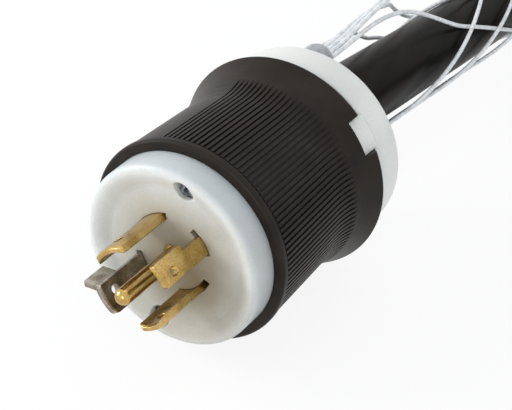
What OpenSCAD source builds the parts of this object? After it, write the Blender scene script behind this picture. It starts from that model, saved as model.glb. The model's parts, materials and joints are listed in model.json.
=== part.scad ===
// Locking power plug: five poles, four curved blades round a ground pin, a ribbed
// shell, a white face and grip ring, and a wire-mesh strain relief on a heavy cord.
//
// Plug coordinates: +Z runs from the front of the face (z = 0) back along the axis
// to the cord, +Y is 12 o'clock, and rotate([0, 0, a]) turns a piece clockwise by a
// as seen from the blades' side. in_frame() lays the plug down: its axis then runs
// along +Y of the part's own frame, and the flange rests on z = 0.

/* [Face] */
// Radius of the face where it enters the shell
face_r = 23; // [22:0.25:25]
// How far the face stands out of the shell
face_rise = 7.3; // [5:0.1:10]
// How much the face narrows towards its front
face_draft = 0.1; // [0:0.05:1]
// Rounding of the front rim
face_round = 1.3; // [0.8:0.1:2.5]
// Depth of the floor that the blades stand on, behind the rim
dish_l = 1.8; // [1:0.1:2.4]
// Radius of that floor
dish_r = 17; // [14:0.25:19]
// Thickness of the face's web, which the blades pass through
web_t = 4.2; // [3.5:0.1:6]
// Depth of the seat that the shell gives the face
seat_l = 3; // [2:0.25:5]
// Depth of the spigot behind the seat
spigot_l = 2.7; // [1.5:0.1:5]
// Gap between pieces that slide into each other
fit = 0.1; // [0.05:0.05:0.2]

/* [Blades] */
// Outer radius of the circle that the blades lie on
blade_r = 10.5; // [9.8:0.1:11]
// Thickness of the blade sheet
blade_t = 1.5; // [1.2:0.1:1.6]
// Length of a blade in front of the face
blade_l = 15.9; // [14:0.1:19]
// Angle that the root of the Y blade spans
root_w = 26; // [22:1:30]
// Angle that the root of the neutral blade spans
neutral_w = 35; // [30:1:38]
// Angle that the roots of the X and Z blades span
wide_w = 45; // [38:1:47]
// Angle that the locking head adds to one side of the root
head_w = 9.4; // [7:0.1:12]
// Length of the locking notch, from the face
notch_l = 6.3; // [4:0.1:8]
// Clock angle of the Y blade's middle
blade_a = 56.2; // [52:0.1:60]
// Bore of the hole near the tip
tip_hole_d = 2.3; // [1.5:0.1:3]
// Distance of that hole from the tip
tip_hole_l = 4.2; // [3.5:0.1:5]
// Corner radius of the tip
tip_round = 1.1; // [0.5:0.1:1.5]
// Chamfer on both edges of the tip
tip_bevel = 0.3; // [0.2:0.05:0.6]
// Height of the neutral blade's outward tab
tab_h = 3.2; // [1.5:0.1:3.6]
// Length of that tab, from the tip
tab_l = 6.8; // [5:0.1:9]
// Angle by which that tab leans away from the radius
tab_lean = 14; // [0:1:30]

/* [Ground pin] */
// Diameter of the pin in front of the face
pin_d = 4; // [3.5:0.1:4.4]
// Length of the pin in front of the face
pin_l = 20.3; // [18:0.1:24]
// Diameter of the shank in the face
shank_d = 5; // [4.6:0.1:6]

/* [Terminals] */
// Length of the terminal block behind the face
block_l = 23; // [22:0.5:25]
// Width of a terminal's pocket
pocket_w = 10.4; // [10:0.1:11]
// Width of a terminal plate
plate_w = 9; // [8.6:0.1:9.4]
// Diameter of a terminal screw
term_screw_d = 3.8; // [3:0.1:4]
// Diameter of a terminal screw's head
term_head_d = 6.2; // [5:0.1:6.4]
// Thickness of a clamp plate
clamp_t = 1.5; // [1:0.1:2]
// Diameter of a bare conductor
wire_d = 2.6; // [2:0.1:2.8]
// Diameter of an insulated core
core_d = 4.2; // [3.6:0.1:4.4]

/* [Assembly screws] */
// Distance of the screws from the axis
screw_r = 18.8; // [18.3:0.1:19]
// Clock angle of the first screw
screw_a = 12; // [5:1:14]
// Diameter of the screws
screw_d = 3.4; // [3:0.1:3.6]
// Diameter of their heads
screw_head_d = 5; // [4.6:0.1:5.2]
// Depth of the heads below the face
head_sink = 1.2; // [0.5:0.1:2]
// Width of their square nuts
nut_w = 6; // [5.4:0.1:6.4]
// Thickness of their square nuts
nut_t = 2.4; // [2:0.1:3]

/* [Shell] */
// Length of the shell, from its lip to the back of its flange
shell_l = 42; // [40:0.5:48]
// How much wider the lip is than the face
lip_w = 2.65; // [2.4:0.05:3.2]
// Length of the smooth lip
lip_l = 2.4; // [1.5:0.1:4]
// Radius lost from lip to flange
shell_taper = 0.75; // [0:0.05:1]
// Number of ribs that would go right round
rib_count = 120; // [90:10:150]
// Height of the ribs
rib_h = 0.5; // [0.3:0.05:0.6]
// Clock angle of the smooth pad's middle
pad_a = -45; // [-60:1:-40]
// Angle that the smooth pad spans
pad_w = 54; // [36:6:60]
// Radius of the flange
flange_r = 28.3; // [27.8:0.1:30]
// Length over which the body flares out to the flange
flare_l = 15.3; // [13:0.1:18]
// How late the flare opens: 1 makes it a plain cone
flare_bow = 1.8; // [1.4:0.1:2.4]
// Length of flare that the ribs run into
runout_l = 7; // [5:0.25:9]
// Length of the shell's rear collar
collar_l = 2; // [1.5:0.1:3]

/* [Grip ring] */
// Radius of the grip ring
ring_r = 26.4; // [26:0.1:27]
// Length of the ring behind the shell
ring_l = 11; // [10.5:0.1:14]
// How much the ring narrows towards its back
ring_draft = 0.5; // [0:0.1:1]
// Rounding of the ring's rear edge
ring_round = 1.6; // [1:0.1:2]
// Thickness of the ring's rear wall
ring_wall = 2.8; // [2.4:0.1:3.4]
// Depth of the spigot that enters the shell
ring_spigot_l = 5.8; // [5:0.1:7]
// Clock angle of the key
key_a = 56.5; // [50:0.5:70]
// Angle that the key spans
key_w = 19; // [12:1:24]
// Length of the key beyond the collar
key_l = 3.5; // [2:0.1:5]

/* [Cord clamp] */
// Width of the jaw along the cord
jaw_l = 5.6; // [5:0.1:6]
// Thickness of the jaw below the cord
jaw_t = 4; // [3.5:0.1:4.5]
// Diameter of the clamp screws
clamp_screw_d = 3.4; // [3:0.1:3.6]
// Diameter of the clamp screws' heads
clamp_head_d = 6; // [5:0.1:6.4]

/* [Mesh grip] */
// Distance of the mesh anchors from the axis
anchor_r = 21.2; // [21:0.1:21.6]
// Diameter of an anchor
anchor_d = 8.4; // [7:0.1:8.8]
// Length of an anchor behind the ring
anchor_l = 6; // [5:0.1:8]
// Diameter of the stud that holds an anchor in the ring
stud_d = 3.6; // [3:0.1:4]
// Diameter of a strand
strand_d = 1.15; // [0.9:0.05:1.3]
// Length of the mesh behind the anchors
mesh_l = 126; // [110:2:136]
// Length of the band at the mesh's tail
band_l = 6; // [4:0.5:8]

/* [Cord] */
// Diameter of the cord
cord_d = 18.8; // [18:0.1:19]
// Length of jacket inside the plug
jacket_l = 17; // [16:0.5:18]
// Radius of the coil's outermost turn, at the middle of the cord
coil_r = 130; // [125:1:140]
// Distance from one turn to the next
coil_pitch = 19.4; // [19:0.1:20]
// Thickness of the ties under and over the coil
tie_t = 1.2; // [0.8:0.1:1.6]
// Width of a tie
tie_w = 20; // [12:1:25]
// Length of the bare cores at the far end
core_end_l = 76; // [60:1:80]

/* [Hidden] */
$fn = 96;

// Stations along the axis
shell_z = face_rise;
seat_z = shell_z + seat_l;
face_back_z = seat_z + spigot_l;
block_back_z = face_back_z + block_l;
web_z = dish_l + web_t;
rib_z = shell_z + lip_l;
shell_back_z = shell_z + shell_l;
flare_z = shell_back_z - flare_l;
runout_z = flare_z + runout_l;
ring_z = shell_back_z + collar_l;
ring_back_z = ring_z + ring_l;
jacket_z = ring_back_z - jacket_l;
anchor_z = ring_back_z + anchor_l;
tip_z = dish_l - blade_l;
notch_z = dish_l - notch_l;
pin_tip_z = dish_l - pin_l;

// The frame: the flange rests on the floor, and the plug is centred along +Y
axis_z = flange_r;
face_y = -(ring_back_z + pin_tip_z) / 2;

// The cord's route where it isn't coiled: [along +Y, height], on the plane x = 0
ROUTE = [[42, 32.6], [43, 32.6], [52, 31.9], [62, 30.7], [75, 29.1], [90, 27.3], [105, 25.5],
         [120, 23.7], [135, 21.9], [150, 20.1], [165, 18.4], [180, 16.8], [195, 15.3],
         [210, 13.9], [225, 12.7], [240, 11.7], [256, 11], [272, 10.6], [290, 10.6]];
cord_r = cord_d / 2;
route_end = ROUTE[len(ROUTE) - 1];
cord_rise = ROUTE[0][1] - axis_z;
exit_z = ROUTE[0][0] - face_y;

// Shell
lip_r = face_r + lip_w;
body_r = lip_r - 0.3;
body_end_r = body_r - shell_taper;
bore_r = face_r - 1.5;
spigot_r = bore_r - 2 * fit;
counterbore_r = ring_r - 2.6;
collar_r = ring_r - 0.2;
counterbore_z = ring_z - ring_spigot_l - fit;
lip_edge = 0.8;
flange_edge = 0.8;

// Blades and terminals
ROOTS = [root_w, wide_w, neutral_w, wide_w];
blade_mid_r = blade_r - blade_t / 2;
blade_in_r = blade_r - blade_t;
boss_r = screw_r - screw_head_d / 2 - 1;
pocket_z = face_back_z + 3;
pocket_floor = blade_in_r - fit;
plate_z = pocket_z + 0.5;
sheet_end_z = plate_z + 2;
plate_l = block_back_z - pocket_z - 5.5;
clamp_y = blade_r + wire_d + 0.1;
clamp_z = plate_z + 1.5;
clamp_l = plate_l - 3;
term_screw_x = 1.4;
term_screw_z = clamp_z + clamp_l / 2;
term_head_l = 2.4;
wire_x = term_screw_x - term_screw_d / 2 - wire_d / 2 - 0.6;
wire_y = blade_r + wire_d / 2 + 0.05;
lug_w = 7.6;
lug_z = block_back_z - 14;
lug_l = 12;
ground_screw_z = lug_z + 5;
set_screw_d = 3.6;
set_screw_l = 5;
port_d = set_screw_d + 1;

// Assembly screws and their nuts
screw_hole_d = screw_d + 3 * fit;
head_l = 2.6;
head_pocket_d = screw_head_d + 3 * fit;
head_z = dish_l + head_sink;
head_end_z = head_z + head_l;
nut_z = ring_z + 0.6;
screw_end_z = nut_z + nut_t + 1;

// Grip ring and cord clamp
ring_back_r = ring_r - ring_draft;
ring_spigot_r = counterbore_r - 2 * fit;
cavity_r = ring_spigot_r - 3.6;
cavity_end_z = ring_back_z - ring_wall;
key_r = collar_r + 0.4;
saddle_y = cord_rise + cord_r + fit;
mouth_r = saddle_y + 0.4;
boss_low_y = saddle_y + 0.3;
nut_pocket_w = nut_w + 2 * fit;
nut_boss_w = nut_pocket_w + 3.4;
jaw_z = cavity_end_z - jaw_l - 0.6;
jaw_y = cord_rise - cord_r - jaw_t;
jaw_top_y = cord_rise - cord_r + 4.4;
jaw_half_w = 16.4;
clamp_screw_x = (cord_r + jaw_half_w) / 2 + 0.4;
lug_low_y = jaw_top_y + 1.6;
clamp_head_l = 2.4;
clamp_screw_top = saddle_y - 2;

// Mesh: each strand has the anchor it leaves (1 top, -1 bottom), its sense round the
// cord, where it starts to turn, where it lands on the cord, how far it bows out, the
// angle it leans over on its way down, and its place beside the anchor's middle
STRANDS_RIGHT = [[1, 1, 44, 72, 5.5, 0, 3], [1, 1, 86, 94, 10, 0, 1], [-1, 1, 0, 26, 0, 0, 3], [-1, 1, 32, 30, 0, 0, 1]];
STRANDS_LEFT = [[1, -1, 16, 44, 2, 0, 5], [1, -1, 36, 70, 6, 0, 3], [1, -1, 66, 104, 10, 0, 1],
                [-1, -1, 22, 24, 0, 30, 5], [-1, -1, 48, 26, 0, 30, 3], [-1, -1, 76, 26, 0, 30, 1]];
strand_r = strand_d / 2;
strand_rings = 28;
strand_gap = 0.15;
lay_rate = 1.9;
lay_ease = 10;
layer_gap = 0.12;
inner_layer_r = cord_r + layer_gap + strand_r;
outer_layer_r = inner_layer_r + strand_d + layer_gap;
band_r = outer_layer_r + strand_r + 0.5;

// Coil: the turns wind inwards from the free cord's end
coil_x = coil_r;
coil_y = route_end[0];
coil_z = route_end[1];
coil_turns = 2.15;
coil_in_r = coil_r - coil_turns * coil_pitch;
coil_edge = cord_r + 0.2;
coil_end_a = 180 - 360 * (coil_turns - floor(coil_turns));
end_gap_a = 60;
tie_a = [135, -45];

// Cores: name, clock angle at the terminal, clock angle in the cord, colour
CORES = [["black", blade_a - 90, -40, "#2a2a2c"], ["red", blade_a, 32, "#a5282c"],
         ["blue", blade_a + 90, 176, "#27519b"], ["white", blade_a + 180, 248, "#e6e4dc"],
         ["green", undef, 104, "#2c7a44"]];
core_lay_r = 4.7;
core_rings = 8;
core_spread = 5;

function ease(t) = t * t * (3 - 2 * t);
function unit(v) = v / norm(v);
// Radius of the shell at a station along its flare
function flare(z) = body_end_r
    + (flange_r - body_end_r) * pow((z - flare_z) / (shell_back_z - flange_edge - flare_z), flare_bow);
// A place in plug coordinates from its clock angle, radius and station
function clock(a, r, z) = [-r * sin(a), r * cos(a), z];
// The same place in the part's own frame
function to_frame(p) = [-p[0], p[2] + face_y, p[1] + axis_z];

module in_frame() { translate([0, face_y, axis_z]) rotate([90, 0, 180]) children(); }

module cyl(d, z0, z1) { translate([0, 0, z0]) cylinder(d = d, h = z1 - z0); }

// Points of a quarter circle about c, from angle a0 to a1
function arc(c, r, a0, a1, n = 6) = [for (i = [0:n]) c + r * [cos(a0 + (a1 - a0) * i / n), sin(a0 + (a1 - a0) * i / n)]];

// An annular sector, r0 to r1, z0 to z1, spanning clock angles a0 to a1 (under 90 apart)
module sector(r0, r1, z0, z1, a0, a1) {
    reach = 2 * r1;
    translate([0, 0, z0]) linear_extrude(z1 - z0) difference() {
        circle(r = r1);
        circle(r = r0);
        rotate(a0) translate([0, -reach]) square([reach, 2 * reach]);
        rotate(a1) translate([-reach, -reach]) square([reach, 2 * reach]);
    }
}

// A tube through a list of points: each ring stands square to the way there, with its
// first corner turned towards the matching entry of tops
module tube(points, tops, radii, sides) {
    n = len(points);
    rings = [for (i = [0:n - 1])
        let (way = unit(points[min(i + 1, n - 1)] - points[max(i - 1, 0)]),
             side = unit(cross(way, tops[i])),
             top = cross(side, way))
        for (j = [0:sides - 1])
            points[i] + radii[i] * (cos(360 * j / sides) * top - sin(360 * j / sides) * side)];
    sides_faces = [for (i = [0:n - 2], j = [0:sides - 1])
        let (a = i * sides + j, b = i * sides + (j + 1) % sides)
        each [[a, b + sides, a + sides], [a, b, b + sides]]];
    first = [for (j = [sides - 1:-1:0]) j];
    last = [for (j = [0:sides - 1]) (n - 1) * sides + j];
    polyhedron(points = rings, faces = concat([first], sides_faces, [last]));
}

// ---------------------------------------------------------------- face and contacts

module front_face() {
    front_r = face_r - face_draft;
    color("#dfe2dc") in_frame() difference() {
        rotate_extrude() polygon(concat(
            [[0, dish_l]],
            [for (i = [0:5]) [dish_r + (front_r - face_round - dish_r) * i / 6, dish_l * (1 - ease(i / 6))]],
            arc([front_r - face_round, face_round], face_round, -90, 0),
            [[face_r, face_rise], [face_r, seat_z - fit], [spigot_r, seat_z - fit],
             [spigot_r, face_back_z], [boss_r, face_back_z], [boss_r, web_z], [0, web_z]]));
        for (i = [0:3]) rotate([0, 0, blade_a + 90 * i])
            sector(blade_in_r - fit, blade_r + fit, -1, web_z + 1, -ROOTS[i] / 2 - head_w - 1, ROOTS[i] / 2 + 3);
        cyl(shank_d + 2 * fit, -1, web_z + 1);
        for (a = [0, 180]) rotate([0, 0, screw_a + a]) translate([0, screw_r, 0]) {
            cyl(screw_hole_d, -1, face_back_z + 1);
            cyl(head_pocket_d, -1, head_end_z);
        }
    }
}

// A blade stands at 12 o'clock until it is turned: its sheet is a revolved strip, cut to
// the outline of root, notch and head, with a flat terminal plate behind the face
module blade(i, tab = false) {
    half = blade_mid_r * sin(ROOTS[i] / 2);
    wide = blade_mid_r * sin(ROOTS[i] / 2 + head_w);
    in_frame() rotate([0, 0, blade_a + 90 * i]) difference() {
        union() {
            intersection() {
                rotate_extrude() polygon([
                    [blade_in_r + tip_bevel, tip_z], [blade_r - tip_bevel, tip_z],
                    [blade_r, tip_z + 2 * tip_bevel], [blade_r, sheet_end_z],
                    [blade_in_r, sheet_end_z], [blade_in_r, tip_z + 2 * tip_bevel]]);
                translate([0, blade_r + 1, 0]) rotate([90, 0, 0]) linear_extrude(blade_t + 4) polygon(concat(
                    [[-half, sheet_end_z]],
                    arc([-half + tip_round, tip_z + tip_round], tip_round, 180, 270, 4),
                    arc([wide - tip_round, tip_z + tip_round], tip_round, 270, 360, 4),
                    [[wide, notch_z], [half, notch_z], [half, sheet_end_z]]));
            }
            translate([-plate_w / 2, blade_in_r, plate_z]) cube([plate_w, blade_t, plate_l]);
            if (tab) rotate([0, 0, ROOTS[i] / 2]) translate([0, blade_mid_r, tip_z + 2 * tip_bevel])
                rotate([0, 0, tab_lean]) translate([0, -blade_t / 4, 0]) cube([blade_t, 3 * blade_t / 4 + tab_h, tab_l]);
        }
        translate([0, 0, tip_z + tip_hole_l]) rotate([-90, 0, 0]) cyl(tip_hole_d, 1, blade_r + 1);
        translate([term_screw_x, 0, term_screw_z]) rotate([-90, 0, 0]) cyl(term_screw_d + fit, 1, blade_r + 1);
    }
}

module blade_x() { color("#b8964f") blade(3); }
module blade_y() { color("#b8964f") blade(0); }
module blade_z() { color("#b8964f") blade(1); }
module blade_neutral() { color("#b9b7b0") blade(2, tab = true); }

module ground_pin() {
    r = pin_d / 2;
    color("#b8964f") in_frame() difference() {
        union() {
            rotate_extrude() polygon(concat(
                arc([0, pin_tip_z + r], r, -90, 0, 8),
                [[r, dish_l], [shank_d / 2, dish_l], [shank_d / 2, lug_z + 1], [0, lug_z + 1]]));
            rotate([0, 0, blade_a + 45]) translate([-lug_w / 2, -lug_w / 2, lug_z]) cube([lug_w, lug_w, lug_l]);
        }
        cyl(wire_d + fit, lug_z + 2, lug_z + lug_l + 1);
        rotate([0, 0, blade_a + 45]) translate([0, 0, ground_screw_z])
            rotate([-90, 0, 0]) cyl(set_screw_d + fit, 0, lug_w);
    }
}

module terminal_block() {
    color("#cfd2cc") in_frame() difference() {
        union() {
            cyl(2 * spigot_r, face_back_z, block_back_z);
            cyl(2 * (boss_r - 2 * fit), web_z, face_back_z + 1);
        }
        for (i = [0:3]) rotate([0, 0, blade_a + 90 * i]) {
            sector(blade_in_r - fit, blade_r + fit, web_z - 1, sheet_end_z + 0.2, -ROOTS[i] / 2 - 3, ROOTS[i] / 2 + 3);
            translate([-pocket_w / 2, pocket_floor, pocket_z]) cube([pocket_w, spigot_r, block_l]);
        }
        cyl(shank_d + 2 * fit, web_z - 1, block_back_z);
        rotate([0, 0, blade_a + 45]) translate([-lug_w / 2 - fit, -lug_w / 2 - fit, lug_z - fit])
            cube([lug_w + 2 * fit, lug_w + 2 * fit, block_l]);
        rotate([0, 0, blade_a + 45]) translate([0, 0, ground_screw_z])
            rotate([-90, 0, 0]) cyl(port_d, 0, spigot_r + 1);
        for (a = [0, 180]) rotate([0, 0, screw_a + a]) translate([0, screw_r, 0]) cyl(screw_hole_d, 0, block_back_z + 1);
    }
}

module terminal_clamps() {
    color("#c7a45a") in_frame() for (i = [0:3]) rotate([0, 0, blade_a + 90 * i]) difference() {
        translate([-plate_w / 2, clamp_y, clamp_z]) cube([plate_w, clamp_t, clamp_l]);
        translate([term_screw_x, 0, term_screw_z]) rotate([-90, 0, 0]) cyl(term_screw_d + fit, 1, clamp_y + clamp_t + 1);
    }
}

module terminal_screws() {
    head_y = clamp_y + clamp_t;
    color("#b9b7b0") in_frame() {
        for (i = [0:3]) rotate([0, 0, blade_a + 90 * i]) translate([term_screw_x, 0, term_screw_z])
            rotate([-90, 0, 0]) difference() {
                union() {
                    cyl(term_screw_d, blade_in_r, head_y + 1);
                    cyl(term_head_d, head_y, head_y + term_head_l);
                }
                translate([-term_head_d, -0.5, head_y + term_head_l - 1]) cube([2 * term_head_d, 1, 2]);
            }
        rotate([0, 0, blade_a + 45]) translate([0, 0, ground_screw_z])
            rotate([-90, 0, 0]) difference() {
                cyl(set_screw_d, wire_d / 2 + fit, wire_d / 2 + fit + set_screw_l);
                translate([-set_screw_d, -0.4, wire_d / 2 + set_screw_l - 1]) cube([2 * set_screw_d, 0.8, 2]);
            }
    }
}

// ---------------------------------------------------------------- long screws

module assembly_screws() {
    bit = screw_head_d / 2 - 0.5;
    color("#c9cbcc") in_frame() for (a = [0, 180]) rotate([0, 0, screw_a + a]) translate([0, screw_r, 0]) difference() {
        union() {
            cyl(screw_d, head_z + 1, screw_end_z);
            cyl(screw_head_d, head_z, head_end_z);
        }
        for (turn = [0, 90]) rotate([0, 0, turn + 20])
            translate([-bit, -0.5, head_z - 1]) cube([2 * bit, 1, 2.4]);
    }
}

module assembly_nuts() {
    color("#b8964f") in_frame() for (a = [0, 180]) rotate([0, 0, screw_a + a]) translate([0, screw_r, 0]) difference() {
        translate([-nut_w / 2, -nut_w / 2, nut_z]) cube([nut_w, nut_w, nut_t]);
        cyl(screw_d + fit, nut_z - 1, nut_z + nut_t + 1);
    }
}

// ---------------------------------------------------------------- shell

// Outline that cuts the ribs: teeth all round, wider at their foot, and none at the pad
function rib_outline(top_r, foot_r) = [for (i = [0:rib_count - 1])
    let (step = 360 / rib_count, a = i * step,
         off = abs((a + step / 2 - pad_a + 540) % 360 - 180),
         low = off < pad_w / 2 ? top_r : foot_r)
    each [for (p = [[0.04, top_r], [0.46, top_r], [0.62, low], [0.88, low]])
          p[1] * [-sin(a + p[0] * step), cos(a + p[0] * step)]]];

module shell() {
    color("#2e2a28") in_frame() difference() {
        union() {
            intersection() {
                translate([0, 0, rib_z]) linear_extrude(runout_z - rib_z) polygon(rib_outline(body_r + 1, body_end_r - 1));
                rotate_extrude() polygon(concat(
                    [[bore_r, rib_z], [body_r, rib_z]],
                    [for (i = [0:3]) let (z = flare_z + runout_l * i / 3) [flare(z), z]],
                    [[bore_r, runout_z]]));
            }
            rotate_extrude() polygon(concat(
                [[bore_r - 1, shell_z]],
                arc([lip_r - lip_edge, shell_z + lip_edge], lip_edge, -90, 0, 4),
                [[lip_r, rib_z - 0.6], [body_r - rib_h, rib_z], [body_end_r - rib_h, flare_z],
                 [flare(runout_z - 2) - rib_h, runout_z - 2]],
                [for (i = [0:5]) let (z = runout_z + (shell_back_z - flange_edge - runout_z) * i / 6) [flare(z), z]],
                arc([flange_r - flange_edge, shell_back_z - flange_edge], flange_edge, 0, 90, 4),
                [[collar_r, shell_back_z], [collar_r, ring_z], [bore_r - 1, ring_z]]));
        }
        cyl(2 * (face_r + fit), shell_z - 1, seat_z);
        cyl(2 * bore_r, seat_z - 1, ring_z + 1);
        cyl(2 * counterbore_r, counterbore_z, ring_z + 1);
        rotate([0, 0, key_a]) sector(counterbore_r - 1, flange_r + 2, shell_back_z - key_l - fit, ring_z + 1,
                                     -key_w / 2 - 0.3, key_w / 2 + 0.3);
    }
}

// ---------------------------------------------------------------- grip ring and clamp

module grip_ring() {
    color("#dfe2dc") in_frame() difference() {
        union() {
            difference() {
                union() {
                    rotate_extrude() polygon(concat(
                        [[cavity_r - 1, ring_z], [ring_r, ring_z]],
                        arc([ring_back_r - ring_round, ring_back_z - ring_round], ring_round, 0, 90, 5),
                        [[cavity_r - 1, ring_back_z]]));
                    cyl(2 * ring_spigot_r, ring_z - ring_spigot_l, ring_back_z);
                    rotate([0, 0, key_a]) sector(ring_spigot_r - 1, key_r, shell_back_z - key_l, ring_z + 1,
                                                 -key_w / 2, key_w / 2);
                }
                cyl(2 * cavity_r, ring_z - ring_spigot_l - 1, cavity_end_z);
            }
            intersection() {
                cyl(2 * cavity_r + 1, ring_z - 2, cavity_end_z + 1);
                union() {
                    for (a = [0, 180]) rotate([0, 0, screw_a + a]) translate([-nut_boss_w / 2, boss_low_y, ring_z - 2])
                        cube([nut_boss_w, cavity_r, ring_l]);
                    for (s = [-1, 1]) translate([s > 0 ? cord_r + 1 : -cord_r - 1 - cavity_r, lug_low_y, jaw_z])
                        cube([cavity_r, saddle_y - lug_low_y + 1, ring_l]);
                }
            }
        }
        translate([0, 0, 0]) cyl(2 * mouth_r, cavity_end_z - 1, ring_back_z + 1);
        translate([0, cord_rise, 0]) cyl(2 * (cord_r + fit), ring_z - ring_spigot_l - 1, ring_back_z + 1);
        for (a = [0, 180]) {
            rotate([0, 0, screw_a + a]) translate([0, screw_r, 0]) {
                cyl(screw_hole_d, counterbore_z - 1, screw_end_z + 0.5);
                translate([-nut_pocket_w / 2, -nut_pocket_w / 2, counterbore_z - 1])
                    cube([nut_pocket_w, nut_pocket_w, nut_z + nut_t + fit - counterbore_z + 1]);
            }
            rotate([0, 0, a]) translate([0, anchor_r, 0]) cyl(stud_d + fit, ring_back_z - ring_wall, ring_back_z + 1);
        }
        for (s = [-1, 1]) translate([s * clamp_screw_x, 0, jaw_z + jaw_l / 2]) rotate([-90, 0, 0]) {
            cyl(clamp_screw_d + fit, jaw_top_y, clamp_screw_top + fit);
            cyl(clamp_head_d + 0.8, -ring_r - 1, jaw_y - clamp_head_l);
            cyl(clamp_head_d + fit / 2, jaw_y - clamp_head_l - 0.1, jaw_y + fit);
        }
        translate([-jaw_half_w - fit, jaw_y - fit, jaw_z - fit])
            cube([2 * (jaw_half_w + fit), jaw_top_y - jaw_y + 2 * fit, jaw_l + 2 * fit]);
    }
}

module clamp_jaw() {
    color("#cfd2cc") in_frame() difference() {
        translate([-jaw_half_w, jaw_y, jaw_z]) cube([2 * jaw_half_w, jaw_top_y - jaw_y, jaw_l]);
        translate([0, cord_rise, 0]) cyl(2 * (cord_r + fit), jaw_z - 1, jaw_z + jaw_l + 1);
        for (s = [-1, 1]) translate([s * clamp_screw_x, 0, jaw_z + jaw_l / 2]) rotate([-90, 0, 0])
            cyl(clamp_screw_d + 2 * fit, jaw_y - 1, jaw_top_y + 1);
    }
}

module clamp_screws() {
    color("#c9cbcc") in_frame() for (s = [-1, 1])
        translate([s * clamp_screw_x, 0, jaw_z + jaw_l / 2]) rotate([-90, 0, 0]) difference() {
            union() {
                cyl(clamp_screw_d, jaw_y - 1, clamp_screw_top);
                cyl(clamp_head_d, jaw_y - clamp_head_l, jaw_y);
            }
            translate([-clamp_head_d, -0.5, jaw_y - clamp_head_l - 1]) cube([2 * clamp_head_d, 1, 2]);
        }
}

// ---------------------------------------------------------------- mesh grip

module mesh_anchors() {
    r = anchor_d / 2;
    color("#aeb2b4") in_frame() for (a = [0, 180]) rotate([0, 0, a]) translate([0, anchor_r, 0])
        rotate_extrude($fn = 48) polygon(concat(
            [[0, ring_back_z - ring_wall + 0.2], [stud_d / 2, ring_back_z - ring_wall + 0.2],
             [stud_d / 2, ring_back_z], [r, ring_back_z]],
            arc([r - 3, anchor_z - 3], 3, 0, 90, 6),
            [[0, anchor_z]]));
}

// Height of the cord's middle at a place along +Y
function cord_height(y) = lookup(y, ROUTE);

// A strand's place at distance t behind its anchor; seat is its radius on the cord
function strand_point(s, seat, t) =
    let (y = anchor_z + face_y + 0.1 + t,
         height = cord_height(y) - axis_z,
         start_r = abs(s[0] * anchor_r - (cord_height(anchor_z + face_y) - axis_z)),
         u = min(t / s[3], 1),
         r = seat + (start_r - seat) * (1 - ease(u)) + 16 * s[4] * pow(u * (1 - u), 2),
         q = max(t - s[2], 0),
         turn = lay_rate * q * q / (q + lay_ease) + s[5] * ease(u) + atan(s[6] * (strand_r + strand_gap / 2) / r),
         a = (s[0] > 0 ? 0 : 180) + s[1] * turn)
    [r * sin(a), y, axis_z + height + r * cos(a)];

module strands(list, seat) {
    for (s = list) {
        points = [for (i = [0:strand_rings - 1]) strand_point(s, seat, mesh_l * i / (strand_rings - 1))];
        tube(points, [for (p = points) p - [0, p[1], cord_height(p[1])]], [for (p = points) strand_r], 6);
    }
}

module mesh_strands_left() { color("#c4c6c6") strands(STRANDS_LEFT, outer_layer_r); }
module mesh_strands_right() { color("#c4c6c6") strands(STRANDS_RIGHT, inner_layer_r); }

module mesh_tail_band() {
    y = anchor_z + face_y + mesh_l + 0.6;
    color("#8d9192") translate([0, y, cord_height(y + band_l / 2)]) rotate([-90, 0, 0]) difference() {
        cyl(2 * band_r, 0, band_l);
        cyl(cord_d + 1.2, -1, band_l + 1);
    }
}

// ---------------------------------------------------------------- cord

module cord_jacket_end() {
    color("#26221f") in_frame() translate([0, cord_rise, 0]) cyl(cord_d, jacket_z, exit_z);
}

// A core runs from its terminal, bare under the clamp, into the end of the jacket
module core(k) {
    c = CORES[k];
    ground = is_undef(c[1]);
    lead = ground ? 0 : c[1];
    bare_z = ground ? lug_z + 2.2 : clamp_z;
    strip_z = ground ? lug_z + lug_l + 0.3 : plate_z + plate_l + 0.5;
    place = ground ? [0, 0] : [wire_x * cos(lead) - wire_y * sin(lead), wire_x * sin(lead) + wire_y * cos(lead)];
    goal = clock(c[2], core_lay_r, 0) + [0, cord_rise, 0];
    start_z = max(strip_z + 1.5, ground ? 0 : block_back_z);
    straight = [[bare_z, wire_d / 2], [strip_z, wire_d / 2], [strip_z + 0.01, core_d / 2], [start_z, core_d / 2]];
    bend = [for (i = [1:core_rings]) let (t = i / core_rings, u = ease(t))
        [place[0] + (goal[0] - place[0]) * u, place[1] + (goal[1] - place[1]) * u, start_z + (jacket_z - 0.6 - start_z) * t]];
    points = concat([for (s = straight) [place[0], place[1], s[0]]], bend, [[goal[0], goal[1], jacket_z]]);
    radii = [for (i = [0:len(points) - 1]) i < 2 ? wire_d / 2 : core_d / 2];
    color(c[3]) in_frame() tube(points, [for (p = points) [0, 1, 0]], radii, 8);
}

module cord_free() {
    points = [for (p = ROUTE) [0, p[0], p[1]]];
    color("#26221f") tube(points, [for (p = points) [0, 0, 1]], [for (p = points) cord_r], 12);
}

module cord_coil() {
    gap_r = coil_in_r + coil_pitch - cord_r;
    color("#26221f") difference() {
        translate([coil_x, coil_y, 0]) difference() {
            rotate_extrude($fn = 72) polygon(concat(
                arc([coil_r, coil_z], cord_r, -90, 90, 5), arc([coil_in_r, coil_z], cord_r, 90, 270, 5)));
            translate([0, 0, -1]) linear_extrude(2 * cord_d) difference() {
                circle(r = gap_r);
                rotate(coil_end_a) translate([-2 * coil_r, 0]) square([4 * coil_r, 2 * coil_r]);
                rotate(coil_end_a - end_gap_a) translate([-2 * coil_r, -2 * coil_r]) square([4 * coil_r, 2 * coil_r]);
            }
        }
        translate([-coil_edge - 1, coil_y - coil_r, -1]) cube([2 * coil_edge + 1, coil_r, cord_d + 10]);
    }
}

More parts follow.
